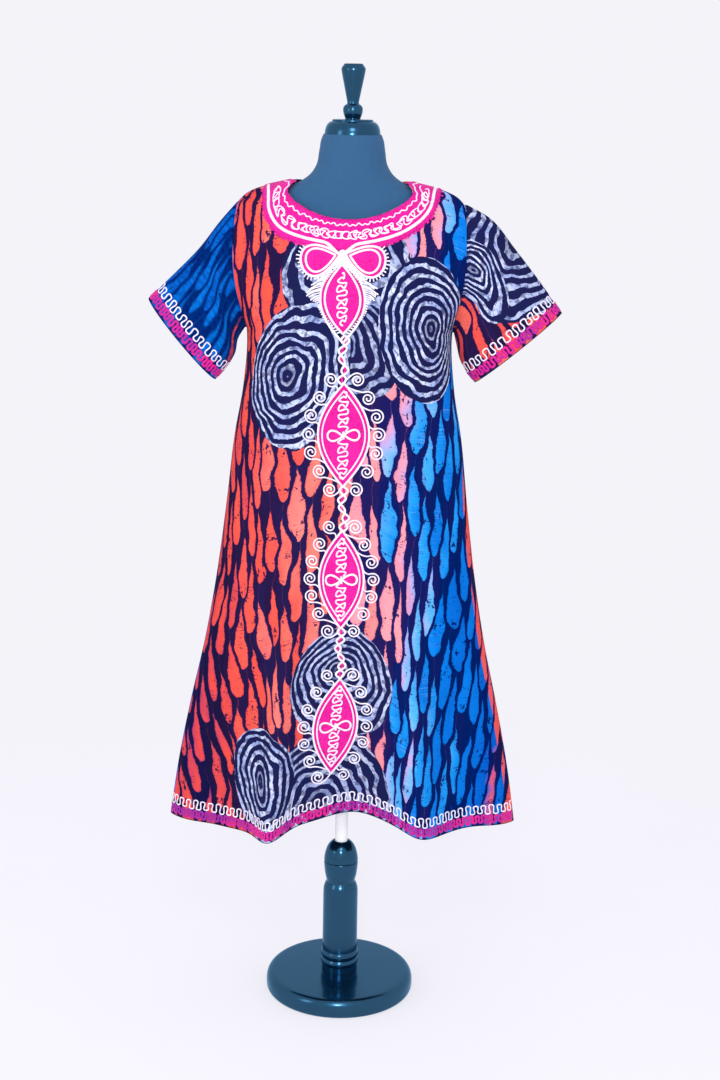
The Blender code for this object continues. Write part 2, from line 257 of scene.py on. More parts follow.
collar = turned("lock_collar_turned", (
    (BORE, 0.3120), (0.0150, 0.3119), (0.0172, 0.3106), (0.0205, 0.3080),
    (0.0243, 0.3036), (0.0278, 0.2975), (0.0304, 0.2900), (0.0323, 0.2820),
    (0.0333, 0.2745), (0.0335, 0.2725), (0.0328, 0.2710), None, (BORE, 0.2710), None,
    (BORE, 0.3120)), lacquer)
ride_as(collar, "stand", "black_lacquer", "lock_collar")

# -------------------------------------------------------------------- The pole
# A steel tube, enamelled white, that slides in the column's bore with the torso on
# its upper end. Rings of rubbed enamel show where the collar has gripped it.
enamel, put, shader = new_material("white_enamel", IOR=1.5, Roughness=0.22)
place = put("TexCoord").node.outputs["Object"]
rubbed = put("TexNoise", put("Mapping", place, None, None, (8, 8, 240)), 1.0, 3.0)
feed(shader, Base_Color=put("ValToRGB", rubbed, stops=((0.0, "f6f8fc"), (1.0, "ffffff"))),
     Roughness=put("MapRange", rubbed, 0.3, 0.8, 0.16, 0.34))
pole = turned("pole_tube", ((0.0, 0.8597), (0.0125, 0.8597), None, (0.0125, 0.150),
                            None, (0.0, 0.150)), enamel, 64)
ride_as(pole, "form", "white_pole", "pole")


# ------------------------------------------------------------------- The torso
# Padded fibreglass under a tight cover of black cotton jersey, cut to show no arms
# and closed under the hips by a flat board.
def between(rows, key, column, at):
    """A smooth value of one column of a table, read along its key column."""
    keys = np.array([getattr(row, key) for row in rows])
    values = np.array([getattr(row, column) for row in rows])
    if keys[0] > keys[-1]:
        keys, values = keys[::-1], values[::-1]
    slopes = np.gradient(values, keys)
    at = np.clip(at, keys[0], keys[-1])
    i = np.clip(np.searchsorted(keys, at) - 1, 0, len(keys) - 2)
    span = keys[i + 1] - keys[i]
    return smooth((at - keys[i]) / span, span, values, slopes, i)


def grid_faces(columns, rows, flip=False, closed=False):
    """Quads of a grid of points that is stored row by row."""
    row, column = np.meshgrid(np.arange(rows - 1), np.arange(columns - (not closed)),
                              indexing="ij")
    after = (column + 1) % columns
    quads = np.stack([row * columns + column, row * columns + after,
                      (row + 1) * columns + after, (row + 1) * columns + column], axis=-1)
    return quads.reshape(-1, 4)[:, ::-1 if flip else 1].tolist()


TORSO = table(
    "height half_width front back",
    (1.6730, 0.0520, 0.050, 0.050), (1.6650, 0.0556, 0.053, 0.053),
    (1.6450, 0.0592, 0.055, 0.056),
    (1.6140, 0.0665, 0.058, 0.060), (1.6000, 0.0770, 0.059, 0.058),
    (1.5870, 0.0960, 0.059, 0.050), (1.5740, 0.1230, 0.060, 0.049),
    (1.5550, 0.1540, 0.064, 0.056), (1.5250, 0.1750, 0.078, 0.068),
    (1.4800, 0.1860, 0.100, 0.082), (1.4200, 0.1860, 0.118, 0.093),
    (1.3600, 0.1780, 0.122, 0.095), (1.2800, 0.1680, 0.113, 0.090),
    (1.1800, 0.1500, 0.095, 0.080), (1.1000, 0.1440, 0.088, 0.078),
    (1.0000, 0.1620, 0.097, 0.092), (0.9200, 0.1800, 0.104, 0.104),
    (0.8700, 0.1840, 0.104, 0.106), (0.8600, 0.1780, 0.100, 0.102),
)
# Single jersey: wales about 1 mm apart, drawn twice as coarse so that they show, matt,
# with a soft bloom where the fibres catch the light.
jersey, put, shader = new_material(
    "black_cotton_jersey", Roughness=0.88, Specular_IOR_Level=0.2, Sheen_Weight=0.12,
    Sheen_Roughness=0.5, Sheen_Tint=linear("9fc4ea"))
place = put("TexCoord").node.outputs["Object"]
wales = put("TexWave", place, 160.0, 1.5, 2.0, 40.0, bands_direction='X').node.outputs["Fac"]
knit = put("MULTIPLY_ADD", put("TexNoise", place, 90.0, 3.0), 0.6, wales)
feed(shader, Base_Color=put("ValToRGB", put("MULTIPLY", knit, 0.6),
                            stops=((0.0, "265077"), (1.0, "386289"))),
     Normal=put("Bump", 0.25, 0.0004, None, knit))

LEVELS, AROUND = 150, 96
z = np.repeat(np.linspace(TORSO[0].height, TORSO[-1].height, LEVELS), AROUND)
angle = np.tile(np.arange(AROUND) * tau / AROUND, LEVELS)
depth = np.where(np.sin(angle) > 0, between(TORSO, "height", "back", z),
                 between(TORSO, "height", "front", z))
points = np.stack([between(TORSO, "height", "half_width", z) * np.cos(angle),
                   depth * np.sin(angle), z], axis=-1)
faces = grid_faces(AROUND, LEVELS, flip=True, closed=True)
faces += [list(range(AROUND)), list(range((LEVELS - 1) * AROUND, LEVELS * AROUND))[::-1]]
torso = piece_of("torso_jersey", points, faces, jersey)
torso.data.set_sharp_from_angle(angle=radians(50))
ride_as(torso, "form", "form_jersey", "torso_form")

# ---------------------------------------------------------- Neck cap and finial
# The same lacquered hardwood: a domed cap that closes the neck of the cover, and a
# slim turned finial that is screwed down through it.
cap = turned("neck_cap_turned", (
    (0.0, 1.6990), (0.0345, 1.6990), None, (0.0362, 1.6986), (0.0369, 1.6976),
    (0.0370, 1.6956), None, (0.0390, 1.6951), (0.0420, 1.6936), (0.0452, 1.6906),
    (0.0477, 1.6863), (0.0493, 1.6812), (0.0501, 1.6765), (0.0503, 1.6733), None,
    (0.0, 1.6733)), lacquer)
ride_as(cap, "form", "black_lacquer", "neck_cap")
finial = turned("finial_turned", (
    (0.0, 1.7960), (0.0150, 1.7960), None, (0.0168, 1.7953), (0.0176, 1.7938), None,
    (0.0204, 1.7901), None, (0.0217, 1.7875), (0.0218, 1.7850), None, (0.0212, 1.7815),
    (0.0160, 1.7560), (0.0104, 1.7290), None, (0.0110, 1.7262), (0.0138, 1.7243),
    (0.0164, 1.7216), (0.0177, 1.7180), (0.0177, 1.7140), (0.0168, 1.7090),
    (0.0152, 1.7045), (0.0140, 1.7012), (0.0138, 1.6993), None, (0.0, 1.6993)), lacquer, 72)
ride_as(finial, "form", "black_lacquer", "finial")


# ------------------------------------------------------- Front, back and sleeves
# Four pieces of wax-printed cotton, turned in at every edge and built 1.2 mm thick: an
# A-line front and back joined at the shoulders and sides, and two short flared
# sleeves set into the armholes. They hang from the shoulders in soft flutes.
CLOTH, SEAM_GAP, SHOULDER_TURNING, SKIRT_TURNING = 0.0012, 0.0003, 0.0006, 0.0008
UNDERARM, SHOULDER_TIP, NECK_POINT = 1.325, 1.556, 1.591
ARMHOLE_MIDDLE, ARMHOLE_HALF = (SHOULDER_TIP + UNDERARM) / 2, (SHOULDER_TIP - UNDERARM) / 2
FRONT_NECK_DROP, BACK_NECK_DROP, ARMHOLE_DEPTH, SLEEVE_START = 0.062, 0.016, 0.052, 0.020
TURNING_REACH, TURNING_DEPTH = 0.0080, 0.93
HEM_HALF_WIDTH, HEM_HEIGHT = 0.337, 0.36

DRESS = table(
    "height half_width front back", (0.300, 0.347, 0.128, 0.160), (0.370, 0.337, 0.127, 0.156),
    (0.480, 0.320, 0.126, 0.150), (0.600, 0.296, 0.125, 0.144),
    (0.720, 0.269, 0.124, 0.137), (0.850, 0.246, 0.124, 0.128),
    (1.000, 0.226, 0.124, 0.114), (1.120, 0.212, 0.126, 0.103),
    (1.220, 0.195, 0.130, 0.102), (1.325, 0.190, 0.135, 0.108),
    (1.400, 0.206, 0.134, 0.108), (1.450, 0.211, 0.126, 0.104),
    (1.500, 0.210, 0.110, 0.094), (1.530, 0.208, 0.093, 0.083),
    (1.556, 0.201, 0.076, 0.070), (1.570, 0.183, 0.064, 0.060),
    (1.583, 0.146, 0.050, 0.050), (1.591, 0.112, 0.040, 0.044),
)
FLUTES = table(
    "side across reach width fades_at",
    (-1, -0.128, 0.066, 0.034, 1.05), (-1, 0.030, -0.040, 0.075, 0.85),
    (-1, 0.160, 0.042, 0.042, 1.12), (-1, -0.250, -0.016, 0.045, 0.80),
    (-1, 0.262, -0.020, 0.045, 0.90), (1, -0.165, 0.046, 0.045, 1.00),
    (1, -0.030, -0.034, 0.065, 0.90), (1, 0.110, 0.048, 0.042, 1.05),
    (1, 0.225, -0.020, 0.045, 0.85),
)
HEM = table(
    "across front back", (-1.00, 0.358, 0.358), (-0.62, 0.364, 0.362), (-0.42, 0.371, 0.368),
    (-0.20, 0.392, 0.374), (0.10, 0.408, 0.372), (0.32, 0.393, 0.366),
    (0.50, 0.378, 0.366), (0.72, 0.374, 0.368), (1.00, 0.368, 0.368),
)
# Creases left by folding and wear: where each runs, how far the cloth stands out
CREASES = table(
    "side x z half_length half_width slope reach",
    (-1, -0.165, 0.700, 0.050, 0.0060, 0.30, -0.0030),
    (-1, 0.140, 0.712, 0.060, 0.0060, -0.05, -0.0032),
    (-1, -0.150, 0.850, 0.085, 0.0050, -0.04, -0.0016),
    (-1, 0.150, 0.915, 0.080, 0.0050, 0.05, -0.0014),
    (-1, 0.150, 1.040, 0.060, 0.0090, 0.12, -0.0022),
    (-1, -0.130, 1.090, 0.060, 0.0100, -0.20, -0.0022),
    (-1, -0.165, 1.330, 0.050, 0.0110, 0.55, -0.0034),
    (-1, 0.165, 1.330, 0.045, 0.0110, -0.60, -0.0030),
    (-1, 0.190, 0.540, 0.070, 0.0060, 0.25, -0.0020),
    (1, -0.120, 0.720, 0.090, 0.0060, 0.10, -0.0028),
    (1, 0.100, 1.060, 0.080, 0.0080, -0.15, -0.0026),
    (1, -0.150, 1.330, 0.050, 0.0110, -0.55, -0.0032),
    (1, 0.150, 1.330, 0.050, 0.0110, 0.55, -0.0032),
)


def ease(t):
    t = np.clip(t, 0.0, 1.0)
    return t * t * (3.0 - 2.0 * t)


def edges_at(side, across, spread=1.12, power=1.2):
    """How high the hem and the neckline of a panel lie, for places across it."""
    front = side < 0
    drop = FRONT_NECK_DROP if front else BACK_NECK_DROP
    return (between(HEM, "across", "front" if front else "back", across),
            NECK_POINT - drop * (1.0 - ease(spread * abs(across) ** power)))


def panel_point(side, across, up):
    """Points of the front (side -1) or back (side 1).

    across runs from -1 to 1 between the side edges, up from 0 at the hem to 1 at
    the neckline, level by level.
    """
    across, up = np.broadcast_arrays(np.asarray(across, float), up)
    hem, top = edges_at(side, across)
    z = hem + (top - hem) * up
    x = across * between(DRESS, "height", "half_width", z)
    depth = between(DRESS, "height", "front" if side < 0 else "back", z)
    flatness = 0.5 + 0.3 * ease((z - 1.30) / 0.14) + 0.22 * ease((0.80 - z) / 0.40)
    round_ = np.clip(1.0 - across * across, 0.0, 1.0) ** flatness
    armhole = ARMHOLE_DEPTH * np.sqrt(
        np.clip(1.0 - ((z - ARMHOLE_MIDDLE) / ARMHOLE_HALF) ** 2, 0.0, 1.0))
    y = depth * round_ + armhole * (1.0 - round_) ** 2
    for flute in FLUTES:
        if flute.side == side:
            grown = ease((flute.fades_at - z) / (flute.fades_at - HEM_HEIGHT)) ** 1.2
            width = flute.width * (0.65 + 0.35 * grown)
            offset = (across * HEM_HALF_WIDTH - flute.across) / width
            y = y + flute.reach * grown * np.exp(-offset * offset) * np.sqrt(round_)
    for crease in CREASES:
        if crease.side == side:
            along = (x - crease.x) / crease.half_length
            off = (z - crease.z - crease.slope * (x - crease.x)) / crease.half_width
            y = y + crease.reach * np.exp(-along ** 4 - off * off) * np.sqrt(round_)
    seam = (SEAM_GAP + SHOULDER_TURNING * ease((z - 1.50) / 0.05)
            + SKIRT_TURNING * ease((0.80 - z) / 0.30))
    return np.stack([x, side * (y + seam), z], axis=-1)


def column_of(side, x, z):
    """The across and up of the point of a panel at x, z."""
    across = np.clip(x / between(DRESS, "height", "half_width", z), -1.0, 1.0)
    hem, top = edges_at(side, across)
    return across, (z - hem) / (top - hem)


SLEEVE_COLUMNS = "along top_x top_z under_x under_z depth"
RIGHT_SLEEVE = table(
    SLEEVE_COLUMNS, (0.00, 0.2010, 1.5560, 0.1900, 1.3250, 0.052),
    (0.25, 0.2400, 1.5120, 0.2060, 1.2990, 0.058), (0.50, 0.2770, 1.4650, 0.2120, 1.2720, 0.056),
    (0.75, 0.3220, 1.4190, 0.2270, 1.2470, 0.051), (1.00, 0.3720, 1.3710, 0.2480, 1.2230, 0.046),
)
LEFT_SLEEVE = table(
    SLEEVE_COLUMNS, (0.00, 0.2010, 1.5560, 0.1900, 1.3250, 0.052),
    (0.25, 0.2550, 1.5260, 0.1975, 1.2960, 0.060), (0.50, 0.2980, 1.4760, 0.2045, 1.2720, 0.058),
    (0.75, 0.3420, 1.4220, 0.2170, 1.2490, 0.053), (1.00, 0.3880, 1.3620, 0.2330, 1.2300, 0.048),
)


def sleeve_point(rows, sign, along, angle):
    """Points of a sleeve: along from armhole to cuff, angle from the top fold forwards."""
    along, angle = np.broadcast_arrays(np.asarray(along, float), angle)
    top_x, top_z, under_x, under_z, depth = (
        between(rows, "along", column, along) for column in SLEEVE_COLUMNS.split()[1:])
    x = (top_x + under_x) / 2 + (top_x - under_x) / 2 * np.cos(angle)
    z = (top_z + under_z) / 2 + (top_z - under_z) / 2 * np.cos(angle)
    armhole_z = ARMHOLE_MIDDLE + ARMHOLE_HALF * np.cos(angle)
    chord = ((rows[0].top_x + rows[0].under_x) / 2
             + (rows[0].top_x - rows[0].under_x) / 2 * np.cos(angle))
    bulge = between(DRESS, "height", "half_width", armhole_z) - chord
    x = x + (bulge + 3.0 * SEAM_GAP) * (1.0 - ease(along * 1.6))
    return np.stack([sign * x, -depth * np.sin(angle), z], axis=-1)


def cut_sizes(points, columns, rows, middle):
    """For a grid of points, the way across the cloth from its middle column, and the
    way up from its first row, both in metres along the cloth."""
    grid = points.reshape(rows, columns, 3)
    across = np.array([way_along(row) for row in grid])
    up = np.transpose([way_along(column) for column in grid.swapaxes(0, 1)])
    return (across - across[:, middle:middle + 1]).ravel(), up.ravel()


def tailored(name, points, faces, cut, flow, tint, material):
    """A piece of cloth with the print's coordinates on it, given its wall."""
    piece = piece_of(name, points, faces, material)
    corners = np.empty(len(piece.data.loops), dtype=np.int32)
    piece.data.loops.foreach_get("vertex_index", corners)
    for layer, place in (("cut", cut), ("flow", flow)):
        uv = piece.data.uv_layers.new(name=layer)
        uv.data.foreach_set("uv", np.stack(place, axis=-1)[corners].ravel())
    attribute = piece.data.attributes.new("tint", 'FLOAT', 'POINT')
    attribute.data.foreach_set("value", tint.astype(np.float32))
    shell = piece.modifiers.new("Cloth", 'SOLIDIFY')
    shell.thickness, shell.offset = CLOTH, -1.0
    return piece


def tint_at(x):
    """Where a dye lies on the print's ramp, for its distance from the front's middle."""
    return 0.5 + 1.3 * x


# The print's ring motifs, by panel: middle, half width and half height on the cloth,
# how egg-shaped it is across and up, its rings, and how pale their lines are.
MOTIFS = table(
    "panel x z half_width half_height egg_x egg_z rings pale",
    ("front", 0.000, 1.480, 0.125, 0.108, 0.0, 0.10, 4.6, 0.80),
    ("front", 0.000, 1.306, 0.084, 0.090, -0.1, 0.05, 5.0, 0.70),
    ("front", -0.104, 1.250, 0.087, 0.130, -0.14, 0.06, 7.4, 0.95),
    ("front", 0.152, 1.337, 0.066, 0.128, 0.16, 0.05, 8.0, 1.0),
    ("front", -0.044, 0.432, 0.132, 0.140, -0.05, 0.0, 7.4, 0.75),
    ("front", -0.005, 0.703, 0.094, 0.099, -0.05, 0.20, 7.2, 0.85),
    ("front", -0.145, 0.484, 0.058, 0.108, -0.10, 0.10, 6.2, 0.90),
    ("back", -0.080, 1.330, 0.100, 0.125, 0.10, 0.15, 7.2, 1.0),
    ("back", 0.100, 1.060, 0.085, 0.110, -0.12, 0.10, 6.4, 0.9),
    ("back", -0.110, 0.640, 0.095, 0.110, 0.10, -0.12, 6.6, 0.9),
    ("back", 0.150, 0.480, 0.065, 0.095, 0.20, 0.15, 5.4, 0.9),
    ("left", 0.330, 1.510, 0.175, 0.132, 0.0, 0.0, 7.0, 0.85),
    ("left", 0.225, 1.440, 0.050, 0.098, -0.10, 0.05, 5.2, 1.0),
)
PANEL_OFFSET = {"front": 0.0, "back": 2.0, "right": 4.0, "left": 6.0}


# Points of each piece, row by row from its hem or cuff, with its sizes on the cloth.
def panel_grid(side, columns, counts):
    """The points of a panel, its columns and rows."""
    hem = HEM[0].front if side < 0 else HEM[0].back
    stops = (hem, UNDERARM, SHOULDER_TIP, NECK_POINT)
    heights = [np.linspace(low, high, count, endpoint=False)
               for low, high, count in zip(stops, stops[1:], counts)]
    up = (np.concatenate([*heights, [NECK_POINT]]) - hem) / (NECK_POINT - hem)
    across = np.sin(np.linspace(-pi / 2, pi / 2, columns))
    points = panel_point(side, across[None, :], up[:, None]).reshape(-1, 3)
    return points, columns, len(up)


def sleeve_grid(sleeve, sign, around, rows):
    """The points of a sleeve from its cuff up, seamed under the arm. Its last row is the
    turning, which lies under the edges of the front and back."""
    along = np.linspace(1.0, SLEEVE_START, rows)[:, None]
    angle = np.linspace(-pi, pi, around)[None, :] * sign
    points = sleeve_point(sleeve, sign, along, -angle)
    points[-1] = points[-1] * (1.0, TURNING_DEPTH, 1.0) - (sign * TURNING_REACH, 0.0, 0.0)
    return points.reshape(-1, 3), around, rows


GRIDS = {
    "front": panel_grid(-1, 173, (170, 52, 12)),
    "back": panel_grid(1, 121, (118, 36, 10)),
    "right": sleeve_grid(RIGHT_SLEEVE, -1, 129, 56),
    "left": sleeve_grid(LEFT_SLEEVE, 1, 129, 56),
}
CUTS = {}
for panel, (points, columns, rows) in GRIDS.items():
    u, v = cut_sizes(points, columns, rows, columns // 2)
    CUTS[panel] = (-u if panel == "back" else u, v)


def motif_on_cloth(motif):
    """Where a motif's middle is on its cut piece, and its half sizes there."""
    points, (u, v) = GRIDS[motif.panel][0], CUTS[motif.panel]
    facing = points[:, 1] > 0 if motif.panel == "back" else points[:, 1] < 0.0

    def nearest(x, z):
        off = np.hypot(points[:, 0] - x, points[:, 2] - z) + np.where(facing, 0.0, 9.0)
        return off.argmin()
    here = nearest(motif.x, motif.z)
    beside = nearest(motif.x + 0.01, motif.z), nearest(motif.x - 0.01, motif.z)
    spread = abs(u[beside[0]] - u[beside[1]]) / abs(points[beside[0], 0] - points[beside[1], 0])
    return (u[here] + PANEL_OFFSET[motif.panel], v[here],
            motif.half_width * min(max(spread, 1.0), 1.5), motif.half_height)


# Wax-resist print on plain-weave cotton, the same on both faces: columns of drops that
# run from coral to blue over a navy ground, with ring motifs laid over them. Lines of
# dye have crept into the cracked wax. Matt, with no gloss but the pressing's.
wax_print, put, shader = new_material("wax_printed_cotton", Specular_IOR_Level=0.0,
                                      Sheen_Weight=0.02, Sheen_Roughness=0.4)
cut = put("UVMap", uv_map="cut")
flow = put("UVMap", uv_map="flow")
tint = put("Attribute", attribute_name="tint").node.outputs["Fac"]
place = put("SeparateXYZ", cut).node
on_right = put("COMPARE", place.outputs["X"], PANEL_OFFSET["right"], 0.9)


def stretched(path, across, along, detail=2.0):
    """Noise of these scales across and along the cloth."""
    return put("TexNoise", put("Mapping", path, None, None, (across, along, 1.0)), 1.0, detail)


def wavering(path, *rounds):
    """The path shaken sideways and lengthways by noise: its scale, then its reach."""
    shaken = path
    for scale, reach in rounds:
        noise = put("TexNoise", path, scale, 2.0).node.outputs["Color"]
        noise = put("VectorMath.SUBTRACT", noise, (0.5, 0.5, 0.5))
        shaken = put("VectorMath.MULTIPLY_ADD", noise, (*reach, 0.0), shaken)
    return shaken


# Each drop keeps to a column 28 mm from the next and fills most of a 150 mm repeat,
# round at the foot and drawn out at the head. Even and odd columns are two lattices.
COLUMN, REPEAT, HALF_DROP = 0.056, 0.150, 0.0165
flowing = put("SeparateXYZ", wavering(
    flow, (8.0, (0.040, 0.060)), (32.0, (0.010, 0.016)), (210.0, (0.0042, 0.0030)))).node
fields, chances = [], []
for lattice in (0, 1):
    columns = put("MULTIPLY_ADD", flowing.outputs["X"], 1 / COLUMN, 0.5 * lattice)
    column = put("FLOOR", columns)
    across = put("MULTIPLY_ADD", put("FRACT", columns), COLUMN, -COLUMN / 2)
    start = put("TexWhiteNoise", put("CombineXYZ", column, 7.3 * lattice), noise_dimensions='2D')
    start = put("MULTIPLY_ADD", start, 0.5, 0.5 * lattice)
    rows = put("MULTIPLY_ADD", flowing.outputs["Y"], 1 / REPEAT, start)
    row, up = put("FLOOR", rows), put("FRACT", rows)
    chance = put("TexWhiteNoise", put("CombineXYZ", column, row, 3.1 * lattice))
    chance = put("SeparateColor", chance.node.outputs["Color"]).node
    length = put("MULTIPLY_ADD", chance.outputs["Red"], 0.32, 1.0)
    part = put("MULTIPLY", up, length, use_clamp=True)
    foot = put("POWER", part, 0.50)
    head = put("POWER", put("SUBTRACT", 1.0, part), 1.20)
    fullness = put("MULTIPLY_ADD", chance.outputs["Green"], 1.15 * HALF_DROP, 1.75 * HALF_DROP)
    width = put("MULTIPLY", put("MULTIPLY", foot, head), fullness)
    lean = put("MULTIPLY_ADD", chance.outputs["Blue"], 0.022, -0.011)
    middle = put("MULTIPLY", put("SUBTRACT", up, 0.5), lean)
    off = put("ABSOLUTE", put("SUBTRACT", across, middle))
    fields.append(put("SUBTRACT", width, off))
    chances.append(chance.outputs["Green"])
apart = put("ABSOLUTE", put("SUBTRACT", *fields))
apart = put("MULTIPLY_ADD", apart, 0.5, -0.0034)
depth_in = put("MINIMUM", put("MAXIMUM", *fields), apart)
soft = put("MULTIPLY_ADD", on_right, 0.0040, 0.0007)
drop = put("MapRange", depth_in, put("MULTIPLY", soft, -0.5), soft)

# The drops' dyes from the wearer's right to their left, and the ground's, on a ramp
# that tint_at places. Each drop took up a little more or less dye than the next, and
# all of them bleed into each other.
own = put("Mix", put("GREATER_THAN", *fields), chances[1], chances[0])
bleed = put("TexNoise", cut, 16.0, 3.0)
bled = put("ADD", tint, put("MULTIPLY_ADD", bleed, 0.10, -0.05))
bled = put("ADD", bled, put("MULTIPLY_ADD", own, 0.17, -0.085))
bright = put("ValToRGB", bled, stops=(
    (0.0, "1f5fc4"), (0.020, "e4463f"), (0.188, "e6503f"),
    (0.357, "ec5c4c"), (0.409, "f27e70"), (0.5, "f89391"),
    (0.5936, "f39aa6"), (0.6196, "cfa4d2"), (0.6378, "92b4ec"),
    (0.6586, "55b2e8"), (0.695, "1f9aea"), (0.747, "0a78da"),
    (0.916, "0660c4"), (0.930, "085cc2"), (0.955, "ec5a55"), (1.0, "ec5a55")))
deep = put("ValToRGB", bled, stops=(
    (0.0, "0a2a7c"), (0.292, "cf3d48"), (0.422, "da565e"),
    (0.604, "cf7fa0"), (0.6456, "6f96e0"), (0.708, "0a68c4"), (0.940, "064cb0"), (1.0, "c8474e")))
ground = put("ValToRGB", bled, stops=(
    (0.0, "08124a"), (0.136, "1b1438"), (0.292, "241640"),
    (0.422, "221a4a"), (0.578, "1e1a56"), (0.656, "13185a"),
    (0.747, "021c5c"), (0.929, "001a60"), (1.0, "1a1440")))
patchy = put("TexNoise", put("Mapping", flow, None, None, (26.0, 9.0, 1.0)), 1.0, 4.0, 0.6)
patchy = put("MapRange", patchy, 0.38, 0.68, 0.0, 1.0)
rim = put("MapRange", depth_in, 0.0, 0.0045, 0.45, 0.0)
stain = put("MULTIPLY_ADD", patchy, 0.50, rim, use_clamp=True)
drop_dye = put("Mix.RGBA", stain, bright, deep)

# Cracks in the wax: short dark ticks across the drops and small blots, in clusters.
cluster = put("TexNoise", flow, 30.0, 2.0)
for marks, amount, low, high, strength in (
    (stretched(flow, 60.0, 400.0), 0.55, 0.925, 0.985, 0.75),
    (stretched(flow, 125.0, 85.0), 0.75, 1.055, 1.085, 0.95),
):
    marks = put("ADD", marks, put("MULTIPLY", cluster, amount))
    marks = put("MapRange", marks, low, high, 0.0, strength)
    drop_dye = put("Mix.RGBA", marks, drop_dye, ground)
# Where coral meets blue, the dye ran along the weft in fine pale lines
run = put("MapRange", stretched(flow, 16.0, 430.0, 3.0), 0.56, 0.68, 0.0, 0.50)
run = put("MULTIPLY", run, put("MapRange", bleed, 0.42, 0.62))
meeting = put("PINGPONG", put("MapRange", tint, tint_at(0.07), tint_at(0.19), 0.0, 2.0), 1.0)
drop_dye = put("Mix.RGBA", put("MULTIPLY", run, meeting), drop_dye, linear("b4d6fa"))
print_dye = put("Mix.RGBA", drop, ground, drop_dye)
mottle = put("MapRange", stretched(flow, 38.0, 150.0, 3.0), 0.35, 0.65, 0.0, 0.6)
print_dye = put("Mix.RGBA", put("MULTIPLY", mottle, on_right), print_dye, linear("02307a"))

# Ring motifs: each is an egg of pale rings drawn freehand in wax, crossed by a few
# cracks. A motif later in the table lies over the ones before it.
shaken = wavering(cut, (9.0, (0.014, 0.014)), (45.0, (0.0045, 0.0045)))
turn, pale, ringed = 0.0, 0.0, 0.0
for motif in MOTIFS:
    u, v, half_u, half_v = motif_on_cloth(motif)
    local = put("Mapping", shaken, (-u / half_u, -v / half_v, 0.0), None,
                (1 / half_u, 1 / half_v, 1.0))
    radius = put("VectorMath.LENGTH", local)
    egg = put("VectorMath.DOT_PRODUCT", local, (motif.egg_x, motif.egg_z, 0.0))
    radius = put("MULTIPLY_ADD", radius, put("MAXIMUM", egg, -0.5), radius)
    inside = put("LESS_THAN", radius, 1.0)
    own_pale = put("MapRange", radius, 0.10, 0.26, 0.40 * motif.pale, motif.pale)
    turn = put("Mix", inside, turn, put("MULTIPLY", radius, motif.rings))
    pale = put("Mix", inside, pale, own_pale)
    ringed = put("MAXIMUM", ringed, inside)
brush = put("TexNoise", cut, 30.0, 3.0)
swerve = put("TexNoise", cut, 14.0, 2.0)
band = put("MULTIPLY_ADD", swerve, 2.2, put("MULTIPLY_ADD", brush, 0.50, turn))
band = put("ABSOLUTE", put("SUBTRACT", put("FRACT", band), 0.5))
edgy = put("MULTIPLY_ADD", put("TexNoise", cut, 120.0, 4.0), 0.20, band)
edgy = put("MULTIPLY_ADD", put("TexNoise", cut, 24.0, 2.0), 0.34, edgy)
stroke = put("MapRange", edgy, 0.452, 0.482, 1.0, 0.0)
cracked = put("TexVoronoi", shaken, 34.0, feature='DISTANCE_TO_EDGE')
cracked = put("MapRange", cracked, 0.006, 0.024, 0.45, 1.0)
worn = put("MapRange", put("TexNoise", cut, 90.0, 5.0), 0.42, 0.50, 0.35, 1.0)
for wear in (cracked, worn, pale):
    stroke = put("MULTIPLY", stroke, wear)
chalk = put("ValToRGB", brush, stops=((0.36, "98a8dc"), (0.62, "d2dcfc")))
hollow = put("Mix.RGBA", bleed, linear("101e4c"), linear("241e4a"))
print_dye = put("Mix.RGBA", ringed, print_dye, put("Mix.RGBA", stroke, hollow, chalk))

# The turned edge of hem and cuffs shows a line of plain navy under the stitching. The
# cotton's threads, 0.35 mm apart, are drawn as slubs of about 2 mm so that they show.
turned_in = put("LESS_THAN", place.outputs["Y"], 0.0014)
print_dye = put("Mix.RGBA", turned_in, print_dye, linear("0b1440"))
threads = put("ADD", stretched(cut, 55.0, 560.0), stretched(cut, 560.0, 55.0))
shade = put("MapRange", threads, 0.75, 1.25, 0.90, 1.08)
feed(shader, Base_Color=put("VectorMath.SCALE", print_dye, shade),
     Roughness=put("MapRange", threads, 0.75, 1.25, 0.82, 0.66),
     Normal=put("Bump", 0.22, 0.0005, None, threads))


